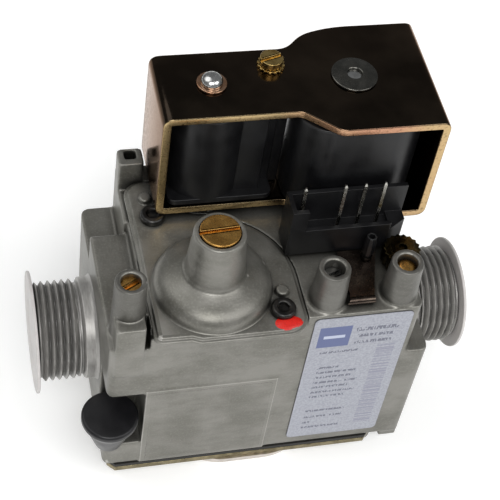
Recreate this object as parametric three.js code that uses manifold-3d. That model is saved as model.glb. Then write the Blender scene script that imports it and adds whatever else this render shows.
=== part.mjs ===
// Gas valve: a die-cast combination control with two solenoid valves, a pressure regulator,
// three pressure test points and a threaded connection at each end.
// Millimetres, +Z up. X runs along the gas connections, -Y faces the rating label.
import * as THREE from 'three';
import { mergeVertices } from 'three/addons/utils/BufferGeometryUtils.js';
import Module from 'manifold-3d';

const wasm = await Module();
wasm.setup();

// ---- driving dimensions, measured from the connection axis (y = 0, z = 0) ----
const GAP = 0.3;                                  // gap between pieces that touch
const BASE = -36;                                 // lowest point, the face that the valve rests on
const CENTRE_Y = 2.725;                           // middle of the whole depth

const thread = { crest: 13.22, pitch: 1.814, depth: 1.16, turns: 6, collar: 13.45, bore: 9, end: 56.9 };
const casting = { left: -41.7, right: 42.5, front: -26, back: 28, bottom: -28.2, deck: 31 };
const shoulder = { right: 36.9, top: 11.4 };      // the upper part is narrower on the right
const gland = { x: -32, top: 24.4, back: 11 };    // raised deck that carries the left test point
const shelf = { x: -33, top: 15.2 };              // low deck behind it
const stop = { x0: -33, x1: -26.4, front: 22.3, top: 37.8 };  // block beside the yoke
const foot = { x: 36.9, bottom: -30.8 };
const label = { x0: 8.9, x1: 34.5, z0: -24.7, z1: 30.1, thick: 0.2 };

const regulator = { x: -15, y: -13.7, deck: 28.4, plate: 29.6, thick: 2.2, dome: 15.2, domeTop: 38,
  towerBase: 7.6, towerTop: 6.3, top: 52.4, bore: 5.1 };
const large = { x: 23.5, y: 19.3, tube: 5.6, wall: 0.4, chamber: 7.6, seat: 0.5, port: 4.6, disc: 6.6, lift: 2.2 };
const small = { x: -12.4, y: 19.4, tube: 4.6, wall: 0.4, chamber: 6.6, seat: -2, port: 3.8, disc: 5.6, lift: 1.8 };
const flange = { large: 11.5, small: 9.4 };      // feet of the two guide tubes
const pole = { length: 14, spare: 0.5 };          // the plunger stops just short of the pole
const yoke = { x0: -25.9, x1: 44, z0: 33.7, z1: 68, sheet: 2.2, front: 8.3, back: 30.4, wideFront: 1.1,
  wideBack: 37.3, bend: 2.6 };
const tests = {                                   // pressure test points: centre, foot, top and girth
  inlet: { x: 31.4, y: -20.8, foot: 31, top: 43.4, screw: 41.9, wide: 0.94 },
  chamber: { x: 12.9, y: -20.6, foot: 31, top: 43.4, screw: 40.4, wide: 0.94 },
  outlet: { x: -36.7, y: -19.8, foot: 24.4, top: 44.4, screw: 42.9, wide: 0.9 },
};
const testPoint = { foot: 4.8, top: 4.15, bore: 2.8, drill: 1.7 };
const knob = { x: -40.3, y: -24.4, radius: 7.45, top: -5.5, ledge: -18.5, spigot: 2.2 };
const connector = { x0: 5, x1: 36.4, front: -6.8, back: 0.7, floor: 37.5, low: 41, high: 48, wall: 1.2 };
const pins = { first: 8.1, pitch: 5.08, places: [0, 2, 3, 4], y: -3.6, top: 53.6, wide: 0.8, thick: 0.8 };
const bulge = { x0: -22, x1: 19, front: -26, back: 20, radius: 15, wall: 1.4 };
const plate = { x0: -40.2, x1: 36.3, front: -26.2, back: 27.6, thick: 1.8, gasket: 1.2, cut: 4 };

const colours = {
  castAluminium: 0x77756f, zincYoke: 0x1d1b17, brass: 0xb07a2c, steel: 0x9a9a96, darkSteel: 0x2a2a2a,
  blackPlastic: 0x19191b, rubber: 0x1b1b1b, greyPlastic: 0xa8a39d, goldZinc: 0x8d7a42, label: 0xd4d8e2,
  copper: 0xb06a3b, nylon: 0xd8d4c8,
};

// ---- shapes ----
const shapeSolid = (geometry) => {
  const plain = geometry.index ? geometry.toNonIndexed() : geometry.clone();
  plain.deleteAttribute('normal');
  plain.deleteAttribute('uv');
  const merged = mergeVertices(plain, 1e-4);
  return new wasm.Manifold(new wasm.Mesh({
    numProp: 3,
    vertProperties: new Float32Array(merged.attributes.position.array),
    triVerts: new Uint32Array(merged.index.array),
  }));
};

const geometryOf = (solid) => {
  const mesh = solid.getMesh();
  const geometry = new THREE.BufferGeometry();
  geometry.setAttribute('position', new THREE.BufferAttribute(new Float32Array(mesh.vertProperties), 3));
  geometry.setIndex(new THREE.BufferAttribute(new Uint32Array(mesh.triVerts), 1));
  return geometry;
};

const join = (...solids) => solids.reduce((whole, next) => whole.add(next));
const cut = (solid, ...tools) => tools.reduce((left, tool) => left.subtract(tool), solid);

const box = (x0, x1, y0, y1, z0, z1) => shapeSolid(
  new THREE.BoxGeometry(x1 - x0, y1 - y0, z1 - z0)
    .translate((x0 + x1) / 2, (y0 + y1) / 2, (z0 + z1) / 2));

// an upright cylinder or cone standing on z0
const post = (x, y, radius, z0, z1, topRadius = radius, sides = 12) => shapeSolid(
  new THREE.CylinderGeometry(topRadius, radius, z1 - z0, sides)
    .rotateX(Math.PI / 2).translate(x, y, (z0 + z1) / 2));

// a cylinder along X
const bar = (x0, x1, radius, y = 0, z = 0, sides = 24) => shapeSolid(
  new THREE.CylinderGeometry(radius, radius, x1 - x0, sides)
    .rotateZ(-Math.PI / 2).translate((x0 + x1) / 2, y, z));

// a profile of [radius, height] points turned about an upright axis
const turned = (x, y, profile, sides = 12) => shapeSolid(
  new THREE.LatheGeometry(profile.map(([r, h]) => new THREE.Vector2(r, h)), sides)
    .rotateX(Math.PI / 2).translate(x, y, 0));

// a plan outline raised from z0 to z1
const raised = (outline, z0, z1, curveSegments = 3) => shapeSolid(
  new THREE.ExtrudeGeometry(outline, { depth: z1 - z0, bevelEnabled: false, curveSegments })
    .translate(0, 0, z0));

const roundedRectangle = (x0, x1, y0, y1, r) => {
  const outline = new THREE.Shape();
  outline.absarc(x1 - r, y1 - r, r, 0, Math.PI / 2);
  outline.absarc(x0 + r, y1 - r, r, Math.PI / 2, Math.PI);
  outline.absarc(x0 + r, y0 + r, r, Math.PI, Math.PI * 1.5);
  outline.absarc(x1 - r, y0 + r, r, Math.PI * 1.5, Math.PI * 2);
  return outline;
};

const roundedBox = (x0, x1, y0, y1, z0, z1, r) => raised(roundedRectangle(x0, x1, y0, y1, r), z0, z1);

const tubeRing = (x, y, inner, outer, z0, z1, sides = 12) =>
  turned(x, y, [[inner, z0], [outer, z0], [outer, z1], [inner, z1], [inner, z0]], sides);

class Helix extends THREE.Curve {
  constructor(radius, turns, z0, z1) {
    super();
    Object.assign(this, { radius, turns, z0, z1 });
  }

  getPoint(t, target = new THREE.Vector3()) {
    const angle = t * this.turns * Math.PI * 2;
    return target.set(this.radius * Math.cos(angle), this.radius * Math.sin(angle),
      this.z0 + t * (this.z1 - this.z0));
  }
}

// a compression spring of round wire between z0 and z1
const spring = (x, y, radius, wire, turns, z0, z1) => {
  const section = new THREE.Shape();
  section.absarc(0, 0, wire / 2, 0, Math.PI * 2);
  const path = new Helix(radius, turns, z0 + wire / 2, z1 - wire / 2);
  return shapeSolid(new THREE.ExtrudeGeometry(section, {
    extrudePath: path, steps: Math.round(turns * 7), curveSegments: 2, bevelEnabled: false,
  }).translate(x, y, 0));
};

// a pan-head screw: shank, head standing on seat, and a slot or socket in the head
const screw = (x, y, seat, { shank, length, head, height, socket = 0, slot = 0 }) => {
  let solid = join(
    post(x, y, shank, seat - length, seat + 0.1, shank, 8),
    turned(x, y, [[0, seat], [head, seat], [head, seat + height * 0.55],
      [head * 0.8, seat + height], [0, seat + height]], 10));
  if (socket) solid = cut(solid, post(x, y, socket, seat + height * 0.3, seat + height + 1, socket, 6));
  if (slot) solid = cut(solid, box(x - head, x + head, y - slot / 2, y + slot / 2, seat + height * 0.45, seat + 9));
  return solid;
};

// ---- the object ----
const valve = new THREE.Group();
valve.position.set(0, -CENTRE_Y, -BASE);

const finish = (color, roughness, metalness) =>
  new THREE.MeshStandardMaterial({ color, roughness, metalness });

const add = (name, solid, colour, roughness = 0.5, metalness = 1) => {
  const mesh = new THREE.Mesh(geometryOf(solid), finish(colour, roughness, metalness));
  mesh.name = name;
  valve.add(mesh);
};

// ---- casting ----

// one threaded end: V ridges of a G 3/4 thread, then a plain collar up to the wall
const threadedEnd = (side, wall) => {
  const root = thread.crest - thread.depth;
  const threaded = thread.turns * thread.pitch;
  const profile = [[0, thread.end], [root, thread.end]];
  for (let turn = 0; turn < thread.turns; turn += 1) {
    const start = thread.end - turn * thread.pitch;
    profile.push([thread.crest, start - thread.pitch / 2], [root, start - thread.pitch]);
  }
  profile.push([thread.collar, thread.end - threaded - 0.5], [thread.collar, wall - 3], [0, wall - 3]);
  const end = new THREE.LatheGeometry(profile.reverse().map(([r, h]) => new THREE.Vector2(r, h)), 28);
  return shapeSolid(end.rotateZ(side > 0 ? -Math.PI / 2 : Math.PI / 2));
};

const testTower = ({ x, y, foot: low, top, wide }) => join(
  post(x, y, testPoint.foot * wide, low - 0.4, top, testPoint.top * wide, 20),
  post(x, y, testPoint.foot * wide + 0.6, low - 0.4, low + 1.2, testPoint.foot * wide, 20));

const testBore = ({ x, y, foot: low, top, screw: seat, wide }) => join(
  post(x, y, testPoint.bore * wide, seat - 5, top + 1, testPoint.bore * wide, 16),
  post(x, y, testPoint.drill, low - 12, seat, testPoint.drill, 10));

const castingOutside = () => join(
  roundedBox(casting.left, casting.right, casting.front, casting.back, casting.bottom, shoulder.top, 2.2),
  roundedBox(casting.left, shoulder.right, casting.front, casting.back, shoulder.top - 1, casting.deck, 2.2),
  box(foot.x, casting.right - 0.6, casting.front + 0.4, casting.back - 0.4, foot.bottom, casting.bottom + 1),
  box(-31.8, 2.6, casting.front - 0.4, casting.front + 1, casting.bottom, 6),
  threadedEnd(1, casting.right),
  threadedEnd(-1, -casting.left),
  roundedBox(stop.x0, stop.x1, stop.front, casting.back, shelf.top - 2, stop.top, 1),
  testTower(tests.inlet),
  testTower(tests.chamber));

const castingSteps = () => join(
  box(casting.left - 1, shelf.x, gland.back, casting.back + 1, shelf.top, casting.deck + 9),
  box(casting.left - 1, gland.x, casting.front - 1, gland.back + 0.1, gland.top, casting.deck + 9),
  cut(
    join(
      ...[[1, 1], [1, -1], [-1, 1]].map(([sx, sy]) => raised(coverOutline(), regulator.deck, casting.deck + 1, 5)
        .translate([sx * 0.45, sy * 0.45, 0])),
      box(gland.x - 0.1, 6.8, casting.front - 1, -24, regulator.deck, casting.deck + 1),
      box(shelf.x - 0.1, -22.4, -2, stop.front, regulator.deck, casting.deck + 1)),
    post(small.x, small.y, flange.small + 0.2, regulator.deck - 1, casting.deck + 2, flange.small + 0.2, 32)),
  box(casting.left - 1, -31.8, casting.front - 1, -15.4, knob.ledge, 4.6));

// plan of the regulator cover: square at the front, round behind, an ear at the rear left
const coverOutline = () => {
  const outline = new THREE.Shape();
  const { x, y } = regulator;
  const corner = 5.2;
  outline.moveTo(-30.6, -28.6);
  outline.lineTo(-22.5, -28.9);
  outline.lineTo(-20.5, -29.9);
  outline.lineTo(1.4, -29.9);
  outline.absarc(1.4, -29.9 + corner, corner, -Math.PI / 2, 0);
  outline.lineTo(6.6, -14);
  outline.absarc(x, y + 0.8, 21.6, 0, Math.PI * 0.45);
  outline.lineTo(-24, 21.2);
  outline.absarc(-27.2, 17.4, 4.6, Math.PI * 0.25, Math.PI);
  outline.lineTo(-31.4, 2);
  outline.lineTo(-31.4, -14);
  outline.closePath();
  return outline;
};

// gas ways, from the inlet on the right to the outlet on the left
const gasWays = () => join(
  bar(16, thread.end + 1, thread.bore),                                   // inlet bore
  box(17.5, 29.5, 4, 16, 1, 8),                                           // inlet to first valve
  post(large.x, large.y, large.chamber, large.seat, casting.deck + 1),    // above the first seat
  post(large.x, large.y, large.port, -11, large.seat + 0.1),              // first seat
  roundedBox(4, 32, 11, 26.4, casting.bottom - 3, -10, 2),                // between the valves
  roundedBox(4, 11.5, 13, 25, -11, 12, 2),                                // riser
  box(-9, 5, 15, 23, 3, 12),                                              // duct to second valve
  post(small.x, small.y, small.chamber, small.seat, casting.deck + 1),    // above the second seat
  post(small.x, small.y, small.port, -11, small.seat + 0.1),              // second seat
  roundedBox(-29, -1.5, -22.5, 26.4, casting.bottom - 3, -10.6, 2),       // to the regulator seat
  post(regulator.x, regulator.y, 5.6, -11, -6),                           // regulator seat
  box(-25, -5, -20, -2, -8, 10),                                          // outlet chamber
  bar(-thread.end - 1, -10, thread.bore),                                 // outlet bore
  post(regulator.x, regulator.y, 2.2, 9, 20),                             // stem guide
  post(regulator.x, regulator.y, 12.2, 19, casting.deck + 1));            // under the diaphragm

const valveBody = () => cut(
  join(
    cut(castingOutside(), castingSteps()),
    testTower(tests.outlet),
    roundedBox(-40.6, -33.2, casting.front - 0.6, -20, 14.2, 33.4, 0.8),
    post(knob.x, knob.y, knob.spigot, knob.ledge - 2, knob.top - 3.2, knob.spigot, 20)),
  gasWays(),
  testBore(tests.inlet),
  testBore(tests.chamber),
  testBore(tests.outlet),
  roundedBox(-31.2, -28.2, 24.4, 27.4, stop.top - 4, stop.top + 1, 0.5),
  ...coverScrews.map(({ x, y }) => post(x, y, 1.75, 16, 30, 1.75, 10)),
  post(clampNut.x, clampNut.y, 1.75, 20, 32, 1.75, 10),
  ...bottomScrews.map(({ x, y }) => post(x, y, 1.75, casting.bottom - 4, -17, 1.75, 10)));

const coverScrews = [
  { name: 'regulator_cover_screw_rear', x: -26.2, y: 9.3 },
  { name: 'regulator_cover_screw_front', x: 0.9, y: -23.4 },
];
const clampNut = { x: 34.3, y: -10.9 };
const bottomScrews = [
  { name: 'bottom_screw_1', x: -35.6, y: -19.5 },
  { name: 'bottom_screw_2', x: 32.6, y: -21.5 },
  { name: 'bottom_screw_3', x: 34.2, y: 22.6 },
  { name: 'bottom_screw_4', x: -35.6, y: 22.6 },
];

add('valve_body', valveBody(), colours.castAluminium, 0.45, 0.9);

// ---- bottom cover: gasket, pressed plate with a round bulge, and four screws ----
const plateOutline = (grow = 0) => {
  const { x0, x1, front, back, cut: corner } = plate;
  const outline = new THREE.Shape();
  outline.moveTo(x0 - grow, back - corner);
  outline.lineTo(x0 - grow, front + 2);
  outline.lineTo(x0 + 2, front - grow);
  outline.lineTo(x1 - corner, front - grow);
  outline.lineTo(x1 + grow, front + corner);
  outline.lineTo(x1 + grow, back - corner);
  outline.lineTo(x1 - corner, back + grow);
  outline.lineTo(x0 + corner, back + grow);
  outline.closePath();
  return outline;
};

const gasketTop = casting.bottom - GAP;
const plateTop = gasketTop - plate.gasket - GAP;
const plateLow = plateTop - plate.thick;
const clearOfFoot = box(foot.x - GAP, 60, -40, 40, foot.bottom - GAP, casting.bottom + 2);

add('bottom_gasket', cut(
  raised(plateOutline(), gasketTop - plate.gasket, gasketTop),
  raised(roundedRectangle(4, 32, 11, 26.4, 2), -40, -20),
  raised(roundedRectangle(-29, -1.5, -22.5, 26.4, 2), -40, -20),
  clearOfFoot,
  ...bottomScrews.map(({ x, y }) => post(x, y, 2.1, -40, -20, 2.1, 10))), colours.rubber, 0.8, 0);

const bulgePlan = (inset) => roundedRectangle(bulge.x0 + inset, bulge.x1 - inset, bulge.front + inset,
  bulge.back - inset, bulge.radius - inset);
add('bottom_plate', cut(
  join(
    raised(plateOutline(), plateLow, plateTop),
    raised(bulgePlan(0), BASE + 1.2, plateTop - 0.4, 8),
    raised(bulgePlan(1.2), BASE, BASE + 1.3, 8)),
  raised(bulgePlan(1.2 + bulge.wall), BASE + bulge.wall, plateTop + 1, 8),
  ...bottomScrews.map(({ x, y }) => post(x, y, 2.1, -40, -20, 2.1, 10))), colours.goldZinc, 0.35, 1);

for (const { name, x, y } of bottomScrews) {
  const solid = screw(0, 0, 0, { shank: 1.5, length: 11, head: 3.1, height: 1.9, socket: 1.3 });
  add(name, solid.mirror([0, 0, 1]).translate([x, y, plateLow - GAP]), colours.darkSteel, 0.35);
}

// ---- connections ----
// a pushed-in plastic cap: thin disc outside, hollow plug inside the bore
const dustCap = (side) => {
  const profile = [[0, thread.end - 5], [thread.bore - 1.6, thread.end - 5], [thread.bore - 1.6, thread.end - 8],
    [thread.bore - 0.35, thread.end - 8], [thread.bore - 0.35, thread.end + GAP], [16.2, thread.end + GAP],
    [16.2, thread.end + 1.1], [0, thread.end + 1.1]];
  const cap = new THREE.LatheGeometry(profile.map(([r, h]) => new THREE.Vector2(r, h)), 28);
  return shapeSolid(cap.rotateZ(side > 0 ? -Math.PI / 2 : Math.PI / 2));
};
add('inlet_dust_cap', dustCap(1), colours.greyPlastic, 0.55, 0);
add('outlet_dust_cap', dustCap(-1), colours.greyPlastic, 0.55, 0);

const strainer = new THREE.LatheGeometry([[0, 30], [6.8, 30], [8.1, 46], [8.7, 46], [8.7, 47], [7.4, 47],
  [6.3, 30.8], [0, 30.8]].map(([r, h]) => new THREE.Vector2(r, h)), 28);
add('inlet_strainer', shapeSolid(strainer.rotateZ(-Math.PI / 2)), colours.steel, 0.4);

// ---- pressure regulator ----
const regulatorCover = () => {
  const { x, y, plate: low, thick, dome, domeTop, towerBase, towerTop, top, bore } = regulator;
  const level = low + thick;
  return cut(
    join(
      raised(coverOutline(), low, level, 10),
      turned(x, y, [[0, low], [dome, low], [dome, level + 1.2], [dome - 0.8, level + 2.6], [dome - 2.6, domeTop - 2.2],
        [towerBase, domeTop], [towerTop + 0.2, top - 0.6], [towerTop - 0.3, top], [0, top]], 32),
      post(-27.2, 15.5, 1.7, low, level + 1, 1.5, 16),
      post(1.8, -17.8, 1.9, low, level + 1.2, 1.7, 16)),
    turned(x, y, [[0, low - 1], [12.2, low - 1], [12.2, level + 1.2], [bore + 1, domeTop - 2.4], [bore, domeTop - 1],
      [bore, top + 1], [0, top + 1]], 20),
    post(small.x, small.y, flange.small + 0.6, low - 1, level + 9, flange.small + 0.6, 32),
    ...coverScrews.map((place) => post(place.x, place.y, 1.9, low - 1, level + 2, 1.9, 10)));
};
add('regulator_cover', regulatorCover(), colours.castAluminium, 0.42, 0.9);

const { x: rx, y: ry } = regulator;
add('regulator_diaphragm', turned(rx, ry, [[7.2, 28.7], [8.4, 28.7], [9.4, 29.2], [10.8, 28.7], [14.2, 28.7],
  [14.2, 29.3], [10.9, 29.3], [9.4, 29.8], [8.2, 29.3], [7.2, 29.3], [7.2, 28.7]]), colours.rubber, 0.8, 0);
add('diaphragm_plate', turned(rx, ry, [[0, 28.2], [6.9, 28.2], [6.9, 30.1], [4.6, 30.3], [1.6, 30.3], [1.6, 32],
  [0, 32]]), colours.steel, 0.4);
add('regulator_stem', post(rx, ry, 1.5, -13, 28.2 - GAP, 1.5, 16), colours.brass, 0.35);
add('regulator_poppet', turned(rx, ry, [[0, -13.3], [2, -13.3], [7, -11.6], [7, -13.4], [4.6, -15.8], [0, -15.8]]
  .reverse()), colours.rubber, 0.75, 0);
add('regulator_spring', spring(rx, ry, 3.6, 0.9, 5, 30.6, 43.4), colours.steel, 0.3);
add('regulator_adjuster', cut(
  post(rx, ry, regulator.bore - 0.15, 43.7, 47.6, regulator.bore - 0.15, 32),
  box(rx - 3.4, rx + 3.4, ry - 0.6, ry + 0.6, 46, 48)), colours.nylon, 0.6, 0);
add('regulator_plug', cut(
  turned(rx, ry, [[0, 49.4], [3.9, 49.4], [3.9, 50.6], [regulator.bore - 0.15, 50.6], [regulator.bore - 0.15, 52.6],
    [4.75, 53], [0, 53]], 32),
  box(rx - 6, rx + 6, ry - 0.45, ry + 0.45, 52, 54)), colours.brass, 0.3);
add('regulator_plug_o_ring', tubeRing(rx, ry, 4.05, regulator.bore - 0.15, 49.4, 50.4), colours.rubber, 0.7, 0);
for (const { name, x, y } of coverScrews) {
  add(name, screw(x, y, regulator.plate + regulator.thick + GAP / 2,
    { shank: 1.55, length: 13, head: 3.15, height: 1.6, socket: 1.45 }), colours.darkSteel, 0.35);
}

// ---- solenoid valves ----
const coilHigh = yoke.z1 - yoke.sheet - GAP;
const coilLow = yoke.z0 + yoke.sheet + GAP;
const topSheet = yoke.z1 - yoke.sheet;

const yokePlan = () => {
  const { x0, x1, front, back, wideFront, wideBack } = yoke;
  const plan = new THREE.Shape();
  plan.moveTo(x0 - 1, front);
  plan.lineTo(7.9, front);
  plan.lineTo(16.3, wideFront);
  plan.lineTo(x1 + 1, wideFront);
  plan.lineTo(x1 + 1, wideBack);
  plan.lineTo(21.9, wideBack);
  plan.quadraticCurveTo(15.4, wideBack, 12, 32.6);
  plan.quadraticCurveTo(10.6, back, 8.6, back);
  plan.lineTo(x0 - 1, back);
  plan.closePath();
  return plan;
};

const yokeSolid = () => {
  const { x0, x1, z0, z1, sheet, bend } = yoke;
  const ring = roundedRectangle(x0, x1, z0, z1, bend);
  ring.holes.push(roundedRectangle(x0 + sheet, x1 - sheet, z0 + sheet, z1 - sheet, bend - 1.6));
  const strap = new THREE.ExtrudeGeometry(ring, { depth: 60, bevelEnabled: false, curveSegments: 4 });
  const bent = shapeSolid(strap.rotateX(Math.PI / 2).translate(0, 50, 0));
  return cut(
    bent.intersect(raised(yokePlan(), z0 - 1, z1 + 1, 6)),
    post(large.x, large.y, large.tube + GAP, z0 - 1, z0 + 5),
    post(small.x, small.y, small.tube + GAP, z0 - 1, z0 + 5),
    post(large.x, large.y, 3.3, topSheet - 1, z1 + 1, 3.3, 24),
    post(small.x, small.y, 2.3, topSheet - 1, z1 + 1, 2.3, 24),
    post(earthScrew.x, earthScrew.y, 1.6, topSheet - 1, z1 + 1, 1.6, 16));
};
const earthScrew = { x: 3.4, y: 24.6 };
add('coil_yoke', yokeSolid(), colours.zincYoke, 0.2);

const largeCoilPlan = () => roundedRectangle(7.2, 40.6, 3, 35.6, 9);
const smallCoilPlan = () => new THREE.Shape().absarc(small.x, small.y, 10.6, 0, Math.PI * 2);

// a moulded coil case: outline with flanges, hollow for the winding, open at its bore
const coilCase = (plan, { x, y, tube }, cavity, extra = []) => cut(
  join(raised(plan, coilLow, coilHigh, 6), ...extra),
  post(x, y, tube + 1.5, coilLow - 1, coilHigh + 1),
  post(x, y, cavity, coilLow + 2.4, coilHigh - 2.4));

const coilInside = (name, { x, y, tube }, cavity) => {
  const bore = tube + 0.4;
  const neck = tube + 1.2;
  const low = coilLow + 0.3;
  const high = coilHigh - 0.3;
  add(`${name}_bobbin`, tubeRing(x, y, bore, neck, low, high), colours.nylon, 0.6, 0);
  add(`${name}_winding`, tubeRing(x, y, neck + GAP + 0.3, cavity - GAP, coilLow + 2.8, coilHigh - 2.8),
    colours.copper, 0.35);
};
add('large_coil_case', coilCase(largeCoilPlan(), large, 14.6), colours.blackPlastic, 0.4, 0);
coilInside('large_coil', large, 14.6);
add('small_coil_case', coilCase(smallCoilPlan(), small, 9.2, [
  box(-5.6, 1.2, 11.4, 12.8, coilLow, coilHigh), box(-3.4, 4.2, 14.4, 15.8, coilLow, coilHigh),
  box(4, 6.9, 15, 15.8, coilLow, coilHigh),
]), colours.blackPlastic, 0.4, 0);
coilInside('small_coil', small, 9.2);

// guide tube with its foot flange, fixed pole, plunger, return spring, valve disc and seal
const armature = (name, { x, y, tube, wall, chamber, seat, disc, lift }, footRadius) => {
  const inner = tube - wall;
  const poleLow = coilHigh - pole.length;
  const plungerTop = poleLow - lift - pole.spare;
  const deck = casting.deck + GAP;
  add(`${name}_guide_tube`, turned(x, y, [[inner, deck - 4], [chamber - GAP, deck - 4], [chamber - GAP, deck],
    [footRadius, deck], [footRadius, yoke.z0 - GAP], [tube, yoke.z0 - GAP], [tube, coilHigh], [inner, coilHigh],
    [inner, deck - 4]]), colours.steel, 0.3);
  add(`${name}_tube_seal`, tubeRing(x, y, inner + 0.8, chamber - GAP, deck - 6, deck - 4 - GAP), colours.rubber, 0.75, 0);
  add(`${name}_pole`, turned(x, y, [[0, poleLow], [inner - 0.2, poleLow], [inner - 0.2, coilHigh],
    [1.9, coilHigh], [1.9, topSheet + yoke.sheet + 0.2], [0, topSheet + yoke.sheet + 0.2]]), colours.steel, 0.35);
  add(`${name}_plunger`, cut(
    join(post(x, y, inner - 0.25, seat + 4.2, plungerTop), post(x, y, 2, seat + 2.6, seat + 5, 2, 20)),
    post(x, y, inner - 2, poleLow - 12.5, plungerTop + 1)), colours.steel, 0.3);
  add(`${name}_plunger_spring`, spring(x, y, inner - 2.9, 0.7, 5, poleLow - 12.2, poleLow - GAP), colours.steel,
    0.3);
  add(`${name}_valve_disc`, turned(x, y, [[0, seat + GAP], [disc, seat + GAP], [disc, seat + 1.8], [disc - 1.6, seat + 2.3],
    [0, seat + 2.3]]), colours.rubber, 0.75, 0);
};
armature('large', large, flange.large);
armature('small', small, flange.small);

add('large_coil_lock_disc', turned(large.x, large.y, [[2.2, yoke.z1 + 0.3], [5.9, yoke.z1 + 0.15], [5.9, yoke.z1 + 0.8],
  [2.9, yoke.z1 + 1.1], [2.2, yoke.z1 + 1.1], [2.2, yoke.z1 + 0.3]]), colours.steel, 0.25);
add('small_coil_washer', tubeRing(small.x, small.y, 2.1, 3.6, yoke.z1 + 0.15, yoke.z1 + 0.75, 24), colours.brass, 0.3);
add('small_coil_cap_nut', turned(small.x, small.y, [[0, yoke.z1 + 0.9], [2.7, yoke.z1 + 0.9], [2.6, yoke.z1 + 1.7],
  [1.9, yoke.z1 + 2.5], [0.9, yoke.z1 + 2.9], [0, yoke.z1 + 2.95]], 24), colours.steel, 0.25);
add('earth_washer', tubeRing(earthScrew.x, earthScrew.y, 1.75, 3.4, yoke.z1 + 0.15, yoke.z1 + 0.75, 24),
  colours.goldZinc, 0.3);
add('earth_screw', screw(earthScrew.x, earthScrew.y, yoke.z1 + 0.9, { shank: 1.4, length: 6, head: 2.9, height: 1.8,
  slot: 0.8 }), colours.goldZinc, 0.3);

// ---- plug-in connector in front of the large coil ----
const connectorHousing = () => {
  const { x0, x1, front, back, floor, low, high, wall } = connector;
  const base = casting.deck + 1.1;
  const wing = new THREE.Shape();
  wing.moveTo(x1 - 5.4, front);
  wing.lineTo(x1, front + 3.4);
  wing.lineTo(x1, front - 1);
  wing.closePath();
  return cut(
    join(box(x0, x1, front, back, base, high), box(12, 30, front + 1, back - 1, casting.deck + GAP, base + 1)),
    box(x0 + wall, x1 - 4.6, front + wall, back - wall, floor, high + 1),
    box(x0 + wall + 3, x1 + 1, front - 1, front + wall + 0.1, low, high + 1),
    box(x1 - 4.7, x1 + 1, front - 1, back - wall, low - 2.4, high + 1),
    raised(wing, base - 1, high + 1),
    ...pins.places.map((place) => box(...pinSquare(place, 0.2), floor - 3.2, floor + 1)));
};

const pinSquare = (place, grow = 0) => {
  const x = pins.first + place * pins.pitch;
  return [x - pins.wide / 2 - grow, x + pins.wide / 2 + grow, pins.y - pins.thick / 2 - grow,
    pins.y + pins.thick / 2 + grow];
};
add('connector_housing', connectorHousing(), colours.blackPlastic, 0.4, 0);
pins.places.forEach((place, index) => {
  const [x0, x1, y0, y1] = pinSquare(place);
  const x = (x0 + x1) / 2;
  const solid = join(
    box(x0, x1, y0, y1, connector.floor - 3, pins.top - 0.6),
    shapeSolid(new THREE.CylinderGeometry(pins.wide * 0.35, pins.wide * Math.SQRT1_2, 0.7, 4)
      .rotateX(Math.PI / 2).rotateZ(Math.PI / 4).translate(x, pins.y, pins.top - 0.3)));
  add(`terminal_pin_${index + 1}`, solid, colours.steel, 0.2);
});
add('connector_screw', screw(26, -9.2, casting.deck + 2.9, { shank: 1.1, length: 1.4, head: 1.6, height: 6,
  socket: 0.8 }), colours.darkSteel, 0.4);

// ---- yoke clamp: flat tab with a rolled front edge, and its serrated nut ----
const clampTab = () => {
  const low = casting.deck + GAP;
  const tab = new THREE.Shape();
  tab.moveTo(15.3, -22.6);
  tab.lineTo(24.4, -22.6);
  tab.lineTo(28.6, -7.4);
  tab.lineTo(18.6, -7.4);
  tab.closePath();
  return cut(join(raised(tab, low, low + 1.2), bar(15.3, 24.4, 1, -23, low + 1.05, 16)),
    ...[tests.chamber, tests.inlet].map(({ x, y }) => post(x, y, testPoint.foot + 0.9, low - 1, low + 3)),
    post(26, -9.2, 1.4, low - 1, low + 3, 1.4, 12));
};
add('yoke_clamp_tab', clampTab(), colours.zincYoke, 0.25);

const serratedNut = () => {
  const outline = new THREE.Shape();
  const teeth = 18;
  for (let tooth = 0; tooth <= teeth * 2; tooth += 1) {
    const angle = tooth * Math.PI / teeth;
    const radius = tooth % 2 ? 4.9 : 4.4;
    const [px, py] = [clampNut.x + radius * Math.cos(angle), clampNut.y + radius * Math.sin(angle)];
    if (tooth) outline.lineTo(px, py); else outline.moveTo(px, py);
  }
  return cut(
    join(raised(outline, casting.deck + GAP, casting.deck + 4.9),
      post(clampNut.x, clampNut.y, 3.6, casting.deck + 2, casting.deck + 5.6, 3.6, 6),
      post(clampNut.x, clampNut.y, 1.5, casting.deck - 8, casting.deck + 1, 1.5, 16)),
    post(clampNut.x, clampNut.y, 1.2, casting.deck + 3.6, casting.deck + 9, 1.2, 6));
};
add('yoke_clamp_screw', serratedNut(), colours.goldZinc, 0.3);

// ---- pressure test screws ----
for (const [name, { x, y, screw: seat }] of Object.entries(tests)) {
  const body = turned(x, y, [[0, seat - 4.4], [0.8, seat - 4.4], [1.5, seat - 3.2], [2.35, seat - 3.2], [2.35, seat - 0.4],
    [1.9, seat], [0, seat]], 24);
  add(`${name}_test_screw`, cut(body, box(x - 3, x + 3, y - 0.35, y + 0.35, seat - 1, seat + 1)),
    name === 'chamber' ? colours.steel : colours.brass, 0.3);
}

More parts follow.
